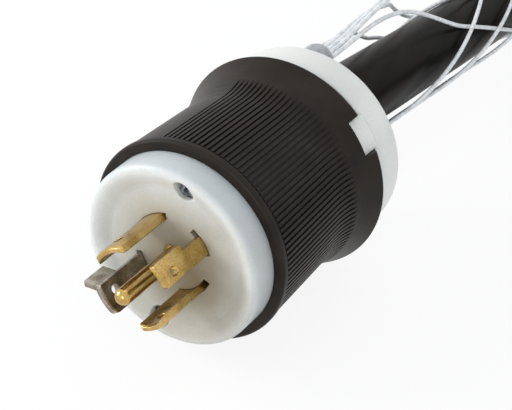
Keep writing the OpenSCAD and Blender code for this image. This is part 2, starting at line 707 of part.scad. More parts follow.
module coil_ties() {
    low = coil_z - cord_r - tie_t;
    color("#3a3a3c") for (a = tie_a) translate([coil_x, coil_y, 0]) rotate([0, 0, a]) {
        inner = sqrt(pow(coil_in_r - cord_r, 2) - pow(tie_w / 2, 2)) - 0.1;
        outer = coil_r + cord_r + 0.1;
        rotate([90, 0, 0]) translate([0, 0, -tie_w / 2]) linear_extrude(tie_w) difference() {
            translate([inner - tie_t, low]) square([outer - inner + 2 * tie_t, cord_d + 2 * tie_t]);
            translate([inner, low + tie_t]) square([outer - inner, cord_d]);
        }
    }
}

// The far end: the jacket is stripped and the cores fan out on the inside of the coil
module end_core(k) {
    lay_a = 72 * k + 18;
    row = [2, 0, -2, -1, 1][k];
    reach = core_end_l * 180 / PI / coil_in_r;
    points = [for (i = [0:core_rings + 1])
        let (t = min(i, core_rings) / core_rings, past = i > core_rings ? 0.12 : 0,
             a = coil_end_a - 0.4 - (reach - 8) * t - 60 * past,
             u = ease(t),
             r = coil_in_r + core_lay_r * cos(lay_a) * (1 - u) + (row * core_spread - 4) * u,
             z = (coil_z + core_lay_r * sin(lay_a)) * (1 - u) + (core_d / 2 + 0.1) * u)
        [coil_x + r * cos(a), coil_y + r * sin(a), z]];
    radii = [for (i = [0:core_rings + 1]) i < core_rings ? core_d / 2 : wire_d / 2];
    color(CORES[k][3]) tube(points, [for (p = points) [0, 0, 1]], radii, 8);
}

front_face();
blade_x();
blade_y();
blade_z();
blade_neutral();
ground_pin();
terminal_block();
terminal_clamps();
terminal_screws();
assembly_screws();
assembly_nuts();
shell();
grip_ring();
clamp_jaw();
clamp_screws();
mesh_anchors();
mesh_strands_left();
mesh_strands_right();
mesh_tail_band();
cord_jacket_end();
core(0);  // core_black
core(1);  // core_red
core(2);  // core_blue
core(3);  // core_white
core(4);  // core_green
cord_free();
cord_coil();
coil_ties();
end_core(0);  // end_core_black
end_core(1);  // end_core_red
end_core(2);  // end_core_blue
end_core(3);  // end_core_white
end_core(4);  // end_core_green
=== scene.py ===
"""Locking power plug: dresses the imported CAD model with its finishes, its round cord,
its wire-mesh grip and a plain studio. Run as a script. Sizes are in metres, apart from
those whose name or comment says millimetres."""

import json
import math

import bpy
import numpy as np
from mathutils import Matrix, Vector


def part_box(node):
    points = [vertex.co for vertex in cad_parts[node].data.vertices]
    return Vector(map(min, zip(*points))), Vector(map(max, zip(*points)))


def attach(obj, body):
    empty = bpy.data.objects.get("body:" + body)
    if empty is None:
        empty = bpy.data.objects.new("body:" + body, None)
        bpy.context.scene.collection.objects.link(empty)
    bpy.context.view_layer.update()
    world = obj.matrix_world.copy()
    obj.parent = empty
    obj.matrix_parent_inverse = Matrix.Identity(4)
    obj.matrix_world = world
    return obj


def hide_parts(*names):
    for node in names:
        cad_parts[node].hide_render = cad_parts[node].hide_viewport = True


bl_info = {
    "name": "Locking power plug",
    "version": (1, 0, 0),
    "blender": (4, 5, 0),
    "location": "3D View > Sidebar > Plug",
    "description": "Finishes, cord, mesh grip and studio of a locking power plug",
    "category": "Object",
}

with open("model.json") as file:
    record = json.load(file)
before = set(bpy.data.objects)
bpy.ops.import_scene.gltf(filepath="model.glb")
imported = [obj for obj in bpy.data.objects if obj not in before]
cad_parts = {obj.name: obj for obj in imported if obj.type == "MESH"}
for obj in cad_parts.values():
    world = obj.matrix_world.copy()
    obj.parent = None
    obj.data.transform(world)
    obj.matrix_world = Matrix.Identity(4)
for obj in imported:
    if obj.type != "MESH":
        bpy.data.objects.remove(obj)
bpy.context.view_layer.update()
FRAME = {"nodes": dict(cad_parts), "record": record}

# The plug's axis runs along +Y at this height, and its face's rim is this far along it
AXIS_Z = FRAME["record"]["mounts"][0]["pos_m"][2]
FACE_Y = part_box("front_face")[0][1]
# The edge of the shell's lip round the face, and the back of the anchors of the mesh
LIP_Y = FACE_Y + 0.0073
ANCHOR_Y = FACE_Y + 0.0683

# The free cord's middle: (along +Y, height), on the plane x = 0
ROUTE = np.array([
    (42, 32.6), (43, 32.6), (52, 31.9), (62, 30.7), (75, 29.1), (90, 27.3), (105, 25.5),
    (120, 23.7), (135, 21.9), (150, 20.1), (165, 18.4), (180, 16.8), (195, 15.3),
    (210, 13.9), (225, 12.7), (240, 11.7), (256, 11), (272, 10.6), (290, 10.6)]) / 1000
# Points along the middle of the free cord and of its coil
FREE_STEPS, COIL_STEPS = 70, 340

# The mesh in millimetres and degrees: how far from the plug's axis its anchors sit, how
# much a wire turns in each millimetre once it is steady, the length in which that eases
# in, and the gaps between neighbouring wires and under each layer
ANCHOR_OUT = 21.2
LAY_RATE, LAY_EASE = 1.9, 10
WIRE_GAP, LAYER_GAP = 0.15, 0.12
# Faces round a wire; its strands, half of how far its surface dips between them, as a
# share of the radius, and the length in metres in which they turn once
WIRE_SIDES = 24
STRANDS, STRAND_DIP, STRAND_PITCH = 6, 0.05, 0.009

# The camera is turned from the plug's axis and tipped down by these, in degrees. From
# the middle of the lip it stands this far to its own right, up and back. Its lens and
# sensor are in millimetres
CAMERA_TURN, CAMERA_TIP = 32.0, 32.7
CAMERA_RIGHT, CAMERA_UP, CAMERA_BACK = 0.01564, 0.00858, 0.3163
CAMERA_LENS, CAMERA_SENSOR = 98.44, 36

# Half the floor's width, how far it lies under the part, so that the two don't meet, and
# the share of it that is plain white to the eye, the rest showing the part's shadow
FLOOR_HALF, FLOOR_DOWN, FLOOR_WHITE = 3, 0.0002, 0.88
# Each lamp's name, place, width and height, and watts; all face the middle of the lip
LAMPS = (
    ("softbox_left", (-0.85, -0.4, 0.5), (0.34, 0.5), 6.4),
    ("softbox_top", (0.15, 0.25, 1.1), (0.45, 0.45), 0.7),
    ("softbox_front", (0.35, -1.0, 0.4), (0.4, 0.3), 2.0))


# ------------------------------------------------------------------ sizes and colours

class PlugSizes(bpy.types.PropertyGroup):
    """Sizes that a user would change."""

    cord_radius: bpy.props.FloatProperty(
        name="Cord radius", description="Half the cord's thickness",
        default=0.0094, min=0.008, max=0.0095, unit="LENGTH")
    cord_sides: bpy.props.IntProperty(
        name="Cord sides", description="Faces round the cord", default=48, min=16, max=96)
    coil_radius: bpy.props.FloatProperty(
        name="Coil radius", description="Radius of the outermost turn",
        default=0.130, min=0.125, max=0.140, unit="LENGTH")
    coil_pitch: bpy.props.FloatProperty(
        name="Coil pitch", description="Distance from one turn to the next",
        default=0.0194, min=0.019, max=0.02, unit="LENGTH")
    coil_turns: bpy.props.FloatProperty(
        name="Coil turns", description="Turns of cord in the coil", default=2.15, min=2, max=2.2)
    wire_radius: bpy.props.FloatProperty(
        name="Wire radius", description="Half the thickness of a mesh wire",
        default=0.00062, min=0.0004, max=0.0007, unit="LENGTH")
    mesh_length: bpy.props.FloatProperty(
        name="Mesh length", description="Length of the wire mesh behind its anchors",
        default=0.126, min=0.11, max=0.136, unit="LENGTH")


class PlugColours(bpy.types.PropertyGroup):
    """Colours that a user would change, as sRGB hex."""

    nylon: bpy.props.StringProperty(
        name="Face", description="White nylon of the face, away from the blades",
        default="#e0e3e2")
    ring: bpy.props.StringProperty(
        name="Grip ring", description="White nylon of the grip ring", default="#f0f2ee")
    shell: bpy.props.StringProperty(
        name="Shell", description="Ribbed shell", default="#2a2521")
    brass: bpy.props.StringProperty(
        name="Brass", description="Blades and ground pin", default="#cbaa68")
    jacket: bpy.props.StringProperty(
        name="Jacket", description="Jacket of the cord", default="#120c09")
    wire: bpy.props.StringProperty(
        name="Wire", description="Wires of the mesh", default="#f2f5f6")


def sizes():
    """The user's sizes."""
    return bpy.context.scene.plug_sizes


def colours():
    """The user's colours."""
    return bpy.context.scene.plug_colours


def linear(code):
    """The linear colour of an sRGB hex code."""
    part = np.array([int(code[i:i + 2], 16) for i in (1, 3, 5)]) / 255
    rgb = np.where(part <= 0.04045, part / 12.92, ((part + 0.055) / 1.055) ** 2.4)
    return (*rgb.tolist(), 1.0)


# ------------------------------------------------------------------ surfaces

def as_object(name, verts, faces, nodes, smooth=True, lay=None):
    """A mesh object in the row frame, riding on the part. It stands for those CAD nodes, which it
    hides. Faces are arrays, each of faces with one number of corners. Lay is the attribute that its
    pattern follows, three numbers for each vertex."""
    mesh = bpy.data.meshes.new(name)
    mesh.from_pydata(verts.tolist(), [], [face for block in faces for face in block.tolist()])
    if lay is not None:
        attribute = mesh.attributes.new("lay", "FLOAT_VECTOR", "POINT")
        attribute.data.foreach_set("vector", lay.ravel())
    mesh.polygons.foreach_set("use_smooth", np.full(len(mesh.polygons), smooth))
    mesh.update()
    piece = bpy.data.objects.new(name, mesh)
    bpy.context.scene.collection.objects.link(piece)
    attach(piece, "root")
    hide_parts(*nodes)
    return piece


def joined(parts):
    """Several (verts, faces) as one, with each part's faces counted on from the last's."""
    starts = np.cumsum([0] + [len(verts) for verts, _ in parts])
    return (np.concatenate([verts for verts, _ in parts]),
            [block + start for (_, faces), start in zip(parts, starts) for block in faces])


def grid_faces(rows, cols):
    """Quads between neighbouring rows of a grid whose columns close into rings."""
    i, j = np.meshgrid(np.arange(rows - 1), np.arange(cols), indexing="ij")
    a, b = i * cols + j, i * cols + (j + 1) % cols
    return np.stack([a, b, b + cols, a + cols], -1).reshape(-1, 4)


def spline(points, count):
    """A natural cubic spline through the points, at even steps of the length of the
    straight lines between them: the second derivatives at the points solve one set of
    linear equations."""
    pts = np.asarray(points, float)
    step = np.linalg.norm(np.diff(pts, axis=0), axis=1)
    t = np.concatenate([[0], np.cumsum(step)])
    n = len(pts)
    system, right = np.eye(n), np.zeros((n, pts.shape[1]))
    k = np.arange(1, n - 1)
    system[k, k - 1], system[k, k + 1] = step[:-1], step[1:]
    system[k, k] = 2 * (step[:-1] + step[1:])
    slope = np.diff(pts, axis=0) / step[:, None]
    right[1:-1] = 6 * np.diff(slope, axis=0)
    bend = np.linalg.solve(system, right)
    at = np.linspace(0, t[-1], count)
    i = np.clip(np.searchsorted(t, at) - 1, 0, n - 2)
    h, u = step[i][:, None], ((at - t[i]) / step[i])[:, None]
    return ((1 - u) * pts[i] + u * pts[i + 1]
            + h ** 2 / 6 * (((1 - u) ** 3 - (1 - u)) * bend[i] + (u ** 3 - u) * bend[i + 1]))


def tube(path, radius, sides, strands=0, pitch=1.0):
    """Rings of the given radius carried along a path, square to it, closed by a fan at
    each end: point = path + radius (cos a up + sin a side). With strands, the rings turn
    once in each pitch and the radius dips between them, as in a twisted wire. The third
    result is the pattern's own place: cos a, sin a and the length so far."""
    way = np.gradient(path, axis=0)
    way /= np.linalg.norm(way, axis=1)[:, None]
    side = np.cross(way, (0.0, 0.0, 1.0))
    side /= np.linalg.norm(side, axis=1)[:, None]
    up = np.cross(side, way)
    along = np.concatenate([[0], np.cumsum(np.linalg.norm(np.diff(path, axis=0), axis=1))])
    lobe = np.linspace(0, 2 * np.pi, sides, endpoint=False)
    turned = lobe[None, :] + (2 * np.pi * along[:, None] / pitch if strands else 0)
    dip = 1 - STRAND_DIP * (1 - np.cos(strands * lobe))[None, :, None]
    n = len(path)
    a = np.broadcast_to(turned, (n, sides))[:, :, None]
    rings = path[:, None] + radius * dip * (np.cos(a) * up[:, None] + np.sin(a) * side[:, None])
    verts = np.concatenate([rings.reshape(-1, 3), path[:1], path[-1:]])
    far = np.broadcast_to(along[:, None, None], a.shape)
    place = np.concatenate([np.cos(a), np.sin(a), far], -1).reshape(-1, 3)
    place = np.concatenate([place, [[0, 0, 0], [0, 0, along[-1]]]])
    first, last, row = n * sides, n * sides + 1, (n - 1) * sides
    j = np.arange(sides)
    k = (j + 1) % sides
    caps = np.concatenate([np.stack([np.full(sides, first), k, j], -1),
                           np.stack([np.full(sides, last), row + j, row + k], -1)])
    return verts, [grid_faces(n, sides), caps], place


# ------------------------------------------------------------------ finishes

def feed(tree, node, inputs):
    """Sets a node's inputs: each is a value or another node's output."""
    for key, value in inputs.items():
        if isinstance(value, bpy.types.NodeSocket):
            tree.links.new(value, node.inputs[key])
        else:
            node.inputs[key].default_value = value


def add(tree, kind, inputs=None, stops=(), **settings):
    """One shader node with its settings, its inputs and, where it is a ramp, its stops
    of (place, sRGB hex)."""
    node = tree.nodes.new("ShaderNode" + kind)
    for key, value in settings.items():
        setattr(node, key, value)
    feed(tree, node, inputs or {})
    if stops:
        elements = node.color_ramp.elements
        while len(elements) < len(stops):
            elements.new(0.5)
        for element, (place, code) in zip(elements, stops):
            element.position, element.color = place, linear(code)
    return node


def material(name, colour, shader):
    """A material whose one shader has that colour, as sRGB hex, and those inputs. Gives
    the material, its tree, the shader, and the place on the object for its patterns."""
    mat = bpy.data.materials.new(name)
    mat.use_nodes = True
    tree = mat.node_tree
    tree.nodes.clear()
    surface = add(tree, "BsdfPrincipled", {"Base Color": linear(colour), **shader})
    add(tree, "OutputMaterial", {"Surface": surface.outputs[0]})
    return mat, tree, surface, add(tree, "TexCoord").outputs["Object"]


def per_mm(size_mm):
    """The scale of a pattern whose patches are about that many millimetres across."""
    return 1000 / size_mm


def mottled(tree, at, size_mm, stops):
    """A colour in soft patches of about that size: noise, and a ramp that it runs along."""
    patches = add(tree, "TexNoise", {"Vector": at, "Scale": per_mm(size_mm), "Detail": 3})
    return add(tree, "ValToRGB", {"Fac": patches.outputs["Fac"]}, stops).outputs["Color"]


def toned(tree, colour, factor, stops):
    """The colour times another one, which follows the factor along its stops."""
    tone = add(tree, "ValToRGB", {"Fac": factor}, stops).outputs["Color"]
    return add(tree, "Mix", {0: 1.0, 6: colour, 7: tone},
               data_type="RGBA", blend_type="MULTIPLY").outputs[2]


def grained(tree, at, size_mm, depth_mm, strength, detail=2, edge_mm=0, under=None):
    """The normal of a grain: bumps of about that size and depth, over edges rounded to
    edge_mm or over another normal. With both at 0 and None it lies on the bare surface."""
    height = add(tree, "TexNoise", {"Vector": at, "Scale": per_mm(size_mm), "Detail": detail})
    if edge_mm:
        under = add(tree, "Bevel", {"Radius": edge_mm / 1000}, samples=6).outputs["Normal"]
    inputs = {"Height": height.outputs["Fac"], "Distance": depth_mm / 1000, "Strength": strength}
    if under:
        inputs["Normal"] = under
    return add(tree, "Bump", inputs).outputs["Normal"]


def from_axis(tree, at, x_mm, z_mm):
    """The distance from a line beside the plug's axis, in metres: the length of the part
    of the place that is square to the axis."""
    flat = add(tree, "VectorMath", {0: at, 1: (1, 0, 1)}, operation="MULTIPLY").outputs[0]
    centre = (x_mm / 1000, 0, AXIS_Z + z_mm / 1000)
    return add(tree, "VectorMath", {0: flat, 1: centre}, operation="DISTANCE").outputs["Value"]


def wear(node, mat):
    """A CAD node takes this material."""
    materials = FRAME["nodes"][node].data.materials
    materials.clear()
    materials.append(mat)


def nylon(name, colour, painted_shade_and_rim_sheen=False):
    """White nylon, injection moulded: slightly milky, satin, with soft flow marks 14 mm across. The
    face's one is darker and warmer round the blades. Part of that is real, where the brass and the
    dark inside show through the milky nylon. Most of it is painted shade of the blades' shadows and
    painted reflection of the brass, darker towards the bottom. Its rim has a painted cool sheen.
    The grain, which is finer than this in the real one, is drawn 0.45 mm across in colour and 1.6
    mm in relief, so that it shows."""
    mat, tree, shader, at = material(name, colour, {
        "Roughness": 0.34, "IOR": 1.53, "Specular IOR Level": 0.3, "Subsurface Weight": 0.5,
        "Subsurface Radius": (0.005, 0.0047, 0.0043), "Subsurface Scale": 1.0})
    flow = add(tree, "TexNoise", {"Vector": at, "Scale": per_mm(14), "Detail": 3}).outputs["Fac"]
    tone = toned(tree, linear(colour), flow, [(0.5, "#f8f8f7"), (0.7, "#ffffff")])
    if painted_shade_and_rim_sheen:
        # Painted shade and painted brass reflection, warm and dark, round the blades: it fades from
        # 3 to 25 mm round a line 2 mm right of the axis and 4 mm below it, and its border wanders
        # by 4 mm
        wander = add(tree, "MapRange", {"Value": flow, "To Min": -0.004, "To Max": 0.004})
        reach = add(tree, "Math", {0: from_axis(tree, at, 2, -4), 1: wander.outputs[0]},
                    operation="ADD")
        share = add(tree, "MapRange", {"Value": reach.outputs[0],
                                       "From Min": 0.003, "From Max": 0.025})
        tone = toned(tree, tone, share.outputs[0],
                     [(0, "#a3957e"), (0.25, "#b7ac99"), (0.6, "#dfdad1"), (1, "#ffffff")])
        # Painted cool sheen on the rim, which starts 21.5 mm from the axis
        rim = add(tree, "MapRange", {"Value": from_axis(tree, at, 0, 0),
                                     "From Min": 0.0215, "From Max": 0.0235})
        tone = toned(tree, tone, rim.outputs[0], [(0, "#ffffff"), (1, "#e7edf3")])
    grain = add(tree, "TexNoise", {"Vector": at, "Scale": per_mm(0.45), "Detail": 2})
    tone = toned(tree, tone, grain.outputs["Fac"], [(0.3, "#f7f7f7"), (0.7, "#ffffff")])
    feed(tree, shader, {"Base Color": tone,
                        "Normal": grained(tree, at, 1.6, 0.015, 0.3, edge_mm=0.4)})
    return mat


def shell_nylon(name, colour):
    """Black-brown glass-filled nylon, moulded: satin, with the glass clouding it in
    patches of 6 mm. Its grain is drawn 0.35 mm across, coarser than it is, to show."""
    mat, tree, shader, at = material(name, colour, {
        "Roughness": 0.4, "IOR": 1.53, "Specular IOR Level": 0.12})
    feed(tree, shader, {"Base Color": mottled(tree, at, 6, [(0.3, "#211d1a"), (0.7, colour)]),
                        "Normal": grained(tree, at, 0.35, 0.012, 0.5)})
    return mat


def brass(name, colour, dark, pale):
    """Stamped brass: tarnish in patches of 4 mm, which dulls it, fine pits that sparkle,
    grain that runs the way it was rolled, and edges that the die has rounded, so that
    they catch the light. Plate over it takes the same marks. Pits and grain are drawn
    0.4 and 0.3 mm across, coarser than they are, so that they show."""
    mat, tree, shader, at = material(name, colour, {"Metallic": 1.0, "Roughness": 0.26})
    tarnish = add(tree, "TexNoise", {"Vector": at, "Scale": per_mm(4), "Detail": 4}).outputs["Fac"]
    pits = add(tree, "TexNoise", {"Vector": at, "Scale": per_mm(0.4), "Detail": 2}).outputs["Fac"]
    tone = add(tree, "ValToRGB", {"Fac": tarnish}, [(0.34, dark), (0.52, colour), (0.75, pale)])
    tone = toned(tree, tone.outputs["Color"], pits, [(0.34, "#dfdbd2"), (0.55, "#ffffff")])
    dull = add(tree, "MapRange", {"Value": tarnish, "To Min": 0.36, "To Max": 0.16})
    drawn_out = add(tree, "Mapping", {"Vector": at, "Scale": (1, 0.08, 1)}).outputs[0]
    rolled = grained(tree, drawn_out, 0.3, 0.008, 0.5, edge_mm=0.3)
    pitted = add(tree, "Bump", {"Height": pits, "Distance": 0.008 / 1000, "Strength": 0.4,
                                "Normal": rolled})
    feed(tree, shader, {"Base Color": tone, "Roughness": dull.outputs[0],
                        "Normal": pitted.outputs["Normal"]})
    return mat


def zinc(name, colour, dark, rough=0.34):
    """Zinc-plated steel: bright, mottled with grey where the plating is thin."""
    mat, tree, shader, at = material(name, colour, {"Metallic": 1.0, "Roughness": rough})
    feed(tree, shader, {"Base Color": mottled(tree, at, 1.2, [(0.38, dark), (0.6, colour)]),
                        "Normal": grained(tree, at, 0.5, 0.02, 0.6, edge_mm=0.2)})
    return mat


def jacket(name, colour):
    """Extruded rubber jacket: smooth, satin, with the lay of the cores faintly telling: soft ridges
    that run along it and turn once in 170 mm, and a painted sheen that follows them, with painted
    shade between them and lighter colour on them. Its grain is drawn 0.4 mm across, coarser than it
    is, so that it shows."""
    mat, tree, shader, at = material(name, colour, {
        "Roughness": 0.34, "IOR": 1.52, "Specular IOR Level": 0.05,
        "Specular Tint": linear("#f2e6df")})
    # The jacket's own place is (cos a, sin a, length in metres). It turns with the cores,
    # and its scales make a ridge about 8 mm across and 90 mm long
    place = add(tree, "Attribute", attribute_name="lay").outputs["Vector"]
    length = add(tree, "SeparateXYZ", {0: place}).outputs["Z"]
    angle = add(tree, "Math", {0: length, 1: 2 * math.pi / 0.17}, operation="MULTIPLY")
    turned = add(tree, "VectorRotate", {"Vector": place, "Axis": (0, 0, 1),
                                        "Angle": angle.outputs[0]}, rotation_type="AXIS_ANGLE")
    drawn_out = add(tree, "Mapping", {"Vector": turned.outputs[0], "Scale": (1, 1, 9)})
    ridges = add(tree, "TexNoise", {"Vector": drawn_out.outputs[0], "Scale": 1.2,
                                    "Detail": 0.5}).outputs["Fac"]
    # Painted shade between the ridges and lighter colour on them: a painted sheen that streaks
    # along the lay
    tone = add(tree, "ValToRGB", {"Fac": ridges}, [(0.35, "#060504"), (0.65, colour)])
    ridged = add(tree, "Bump", {"Height": ridges, "Distance": 1.6 / 1000, "Strength": 1.0})
    feed(tree, shader, {"Base Color": tone.outputs["Color"],
                        "Normal": grained(tree, at, 0.4, 0.012, 0.5, detail=3,
                                          under=ridged.outputs["Normal"])})
    return mat


def strap_weave(name, colour):
    """Hook and loop strap of woven nylon: matt and soft, with a felted pile whose tufts
    are 0.6 mm across."""
    mat, tree, shader, at = material(name, colour, {"Roughness": 0.9, "Sheen Weight": 0.15})
    pile = add(tree, "TexNoise", {"Vector": at, "Scale": per_mm(0.6), "Detail": 3,
                                  "Roughness": 0.7}).outputs["Fac"]
    tone = add(tree, "ValToRGB", {"Fac": pile}, [(0.35, "#1f1f21"), (0.65, colour)])
    felt = add(tree, "Bump", {"Height": pile, "Distance": 0.3 / 1000, "Strength": 0.8})
    feed(tree, shader, {"Base Color": tone.outputs["Color"], "Normal": felt.outputs["Normal"]})
    return mat


def galvanised(name, colour, shade):
    """Hot-dipped or cast zinc: pale grey, with duller patches of 1.5 mm and a rough skin.
    It is so dull that it hardly mirrors anything, so little of it is set as metallic."""
    mat, tree, shader, at = material(name, colour, {
        "Metallic": 0.05, "Roughness": 0.4, "Specular IOR Level": 0.7})
    feed(tree, shader, {"Base Color": mottled(tree, at, 1.5, [(0.3, shade), (0.6, colour)]),
                        "Normal": grained(tree, at, 0.5, 0.05, 0.6, edge_mm=0.2)})
    return mat


def plain_plastic(name, colour, rough=0.45):
    """Moulded or extruded plastic: an even satin. Its grain is drawn 0.6 mm across,
    coarser than it is, so that it shows."""
    mat, tree, shader, at = material(name, colour, {"Roughness": rough, "IOR": 1.5})
    feed(tree, shader, {"Normal": grained(tree, at, 0.6, 0.01, 0.5)})
    return mat


# ------------------------------------------------------------------ operators

def background_rays(tree):
    """1 for the rays that see the background as plain white: the camera's, those that a
    glossy surface sends back and those that pass through a clear one."""
    path = add(tree, "LightPath").outputs
    first = add(tree, "Math", {0: path["Is Camera Ray"], 1: path["Is Glossy Ray"]},
                operation="MAXIMUM")
    return add(tree, "Math", {0: first.outputs[0], 1: path["Is Transmission Ray"]},
               operation="MAXIMUM").outputs[0]


class PLUG_OT_stage(bpy.types.Operator):
    """Sets the camera, the studio light and the pale floor"""

    bl_idname = "plug.stage"
    bl_label = "Stage"

    def execute(self, context):
        scene = context.scene
        turn, tip = math.radians(CAMERA_TURN), math.radians(CAMERA_TIP)
        right = Vector((math.cos(turn), math.sin(turn), 0))
        ahead = Vector((-math.sin(turn) * math.cos(tip), math.cos(turn) * math.cos(tip),
                        -math.sin(tip)))
        up = right.cross(ahead)
        lip = Vector((0, LIP_Y, AXIS_Z))
        camera = bpy.data.objects.new("camera", bpy.data.cameras.new("camera"))
        camera.data.lens, camera.data.sensor_width = CAMERA_LENS, CAMERA_SENSOR
        camera.data.clip_start = 0.01
        place = lip + right * CAMERA_RIGHT + up * CAMERA_UP - ahead * CAMERA_BACK
        facing = Matrix((right, up, -ahead)).transposed().to_4x4()
        camera.matrix_world = Matrix.Translation(place) @ facing
        scene.collection.objects.link(camera)
        scene.camera = camera
        scene.view_settings.view_transform = "Standard"

        # White to the camera and in reflections, and a plain light level on the object
        world = bpy.data.worlds.new("studio")
        world.use_nodes = True
        tree = world.node_tree
        tree.nodes.clear()
        white = add(tree, "Background", {"Color": (1, 1, 1, 1), "Strength": 1.0})
        soft = add(tree, "Background", {"Color": (0.95, 0.97, 1, 1), "Strength": 0.7})
        both = add(tree, "MixShader", {0: background_rays(tree), 1: soft.outputs[0],
                                       2: white.outputs[0]})
        add(tree, "OutputWorld", {"Surface": both.outputs[0]})
        scene.world = world

        # Mostly plain white to those rays, and otherwise card that takes the shadow
        floor, tree, card, _ = material("studio floor, white card", "#ffffff", {"Roughness": 0.9})
        share = add(tree, "Math", {0: background_rays(tree), 1: FLOOR_WHITE}, operation="MULTIPLY")
        glow = add(tree, "Emission", {"Color": (1, 1, 1, 1), "Strength": 1.0})
        both = add(tree, "MixShader", {0: share.outputs[0], 1: card.outputs[0], 2: glow.outputs[0]})
        out = next(n for n in tree.nodes if n.type == "OUTPUT_MATERIAL")
        feed(tree, out, {"Surface": both.outputs[0]})
        mesh = bpy.data.meshes.new("floor")
        mesh.from_pydata([(x * FLOOR_HALF, y * FLOOR_HALF, -FLOOR_DOWN)
                          for x, y in ((-1, -1), (1, -1), (1, 1), (-1, 1))], [], [(0, 1, 2, 3)])
        ground = bpy.data.objects.new("floor", mesh)
        mesh.materials.append(floor)
        scene.collection.objects.link(ground)

        for name, place, size, watts in LAMPS:
            lamp = bpy.data.objects.new(name, bpy.data.lights.new(name, "AREA"))
            lamp.data.shape = "RECTANGLE"
            lamp.data.size, lamp.data.size_y = size
            lamp.data.energy = watts
            lamp.location = place
            lamp.rotation_euler = (lip - Vector(place)).to_track_quat("-Z", "Y").to_euler()
            scene.collection.objects.link(lamp)
        return {"FINISHED"}


def cord_path():
    """The cord's middle: a spline down to the floor, then turns that wind inwards, each
    a pitch inside the last: point = centre + r (-cos turn, sin turn), where r falls
    evenly with the turn."""
    size = sizes()
    free = spline(ROUTE, FREE_STEPS)
    free = np.column_stack([np.zeros(len(free)), free])
    turn = np.linspace(0, 2 * np.pi * size.coil_turns, COIL_STEPS)[1:]
    r = size.coil_radius - size.coil_pitch * turn / (2 * np.pi)
    y, height = ROUTE[-1]
    coil = np.column_stack([size.coil_radius - r * np.cos(turn), y + r * np.sin(turn),
                            np.full(len(turn), height)])
    return np.concatenate([free, coil])


def strap(angle, width=0.02, thick=0.0007, cut=0.0003, clear=0.00002, rounds=1.22, steps=240):
    """A strap round the coil at that angle, from its inner turn to its outer one. Its
    section, a flat rectangle with cut corners, is carried along a stadium that is clear
    of the cord and grows by a little more than the strap's thickness in each round, so
    that its round end lies on its start."""
    size = sizes()
    centre = np.array([size.coil_radius, *ROUTE[-1]])
    # The middles of the stadium's round ends are 0.7 mm inside that of the coil's inner
    # end and 0.1 mm outside that of its outer one
    low = size.coil_radius - size.coil_pitch * size.coil_turns - 0.0007
    high = size.coil_radius + 0.0001
    half, bend = (high - low) / 2, size.cord_radius + clear + thick / 2
    arc = np.pi * bend
    # The way along the stadium at the ends of its straight parts; then, at the same
    # points, the place outwards from its middle and the angle of its normal
    knots = np.cumsum([0, half, arc, 2 * half, arc, half])
    s = np.linspace(0, rounds * knots[-1], steps)
    x = np.interp(s % knots[-1], knots, [0, half, half, -half, -half, 0])
    a = np.interp(s % knots[-1], knots, np.radians([90, 90, -90, -90, -270, -270]))
    # Each round lies on the last with 3 % of the thickness to spare
    bend = bend + 1.03 * thick * s / knots[-1]
    out = np.array([math.cos(angle), math.sin(angle), 0])
    across = np.array([-math.sin(angle), math.cos(angle), 0])
    square = np.cos(a)[:, None] * out + np.sin(a)[:, None] * np.array([0, 0, 1])
    path = centre + ((low + high) / 2 + x)[:, None] * out + bend[:, None] * square
    # Full width, narrowing along a circle to a blunt tip over the last half width
    slim = np.sqrt(1 - np.clip((s - s[-1]) / (width / 2) + 1, 0, 0.97) ** 2)[:, None, None]
    edge = width / 2
    v = np.array([-edge, cut - edge, edge - cut, edge, edge, edge - cut, cut - edge, -edge])
    n = thick * np.array([-0.25, -0.5, -0.5, -0.25, 0.25, 0.5, 0.5, 0.25])
    verts = (path[:, None] + v[None, :, None] * slim * across
             + n[None, :, None] * square[:, None]).reshape(-1, 3)
    sides = len(v)
    ends = np.array([np.arange(sides)[::-1], np.arange(len(verts) - sides, len(verts))])
    return verts, [grid_faces(steps, sides), ends]


class PLUG_OT_cord(bpy.types.Operator):
    """Makes the round cord along its whole route, from the plug to its stripped end, and
    the two straps that hold its coil"""

    bl_idname = "plug.cord"
    bl_label = "Cord"

    def execute(self, context):
        size = sizes()
        path = cord_path()
        verts, faces, place = tube(path, size.cord_radius, size.cord_sides)
        cord = as_object("cord", verts, faces, ["cord_free", "cord_coil"], lay=place)
        cord.data.materials.append(jacket("rubber jacket, extruded", colours().jacket))
        verts, faces = joined([strap(math.radians(angle)) for angle in (135, -45)])
        ties = as_object("coil_straps", verts, faces, ["coil_ties"], smooth=False)
        ties.data.materials.append(strap_weave("hook and loop strap, woven nylon", "#343437"))
        return {"FINISHED"}


def wire_path(anchor, sense, start, landing, bow, lean, place, seat, count=280):
    """A wire's middle: from the upper (1) or lower (-1) anchor it eases down onto the
    cord, bowing out and leaning over on the way, then turns round the cord in its sense
    at a rate that grows to a steady one. It starts 0.1 mm behind the anchor and that
    many half pitches beside its middle. The arguments are in millimetres and degrees."""
    size = sizes()
    y = ANCHOR_Y + 0.0001 + np.linspace(0, size.mesh_length, count)
    t = (y - y[0]) * 1000
    height = np.interp(y, ROUTE[:, 0], ROUTE[:, 1])
    rise = (np.interp(ANCHOR_Y, ROUTE[:, 0], ROUTE[:, 1]) - AXIS_Z) * 1000
    first = abs(anchor * ANCHOR_OUT - rise)
    u = np.minimum(t / landing, 1)
    eased = u * u * (3 - 2 * u)
    # The bow is 0 at the anchor and at the landing, and its full value half way
    r = seat + (first - seat) * (1 - eased) + 16 * bow * (u * (1 - u)) ** 2
    q = np.maximum(t - start, 0)
    beside = np.arctan(place * (size.wire_radius * 1000 + WIRE_GAP / 2) / r)
    turn = np.radians(LAY_RATE * q * q / (q + LAY_EASE) + lean * eased) + beside
    a = (0 if anchor > 0 else np.pi) + sense * turn
    return np.column_stack([r * np.sin(a) / 1000, y, height + r * np.cos(a) / 1000])


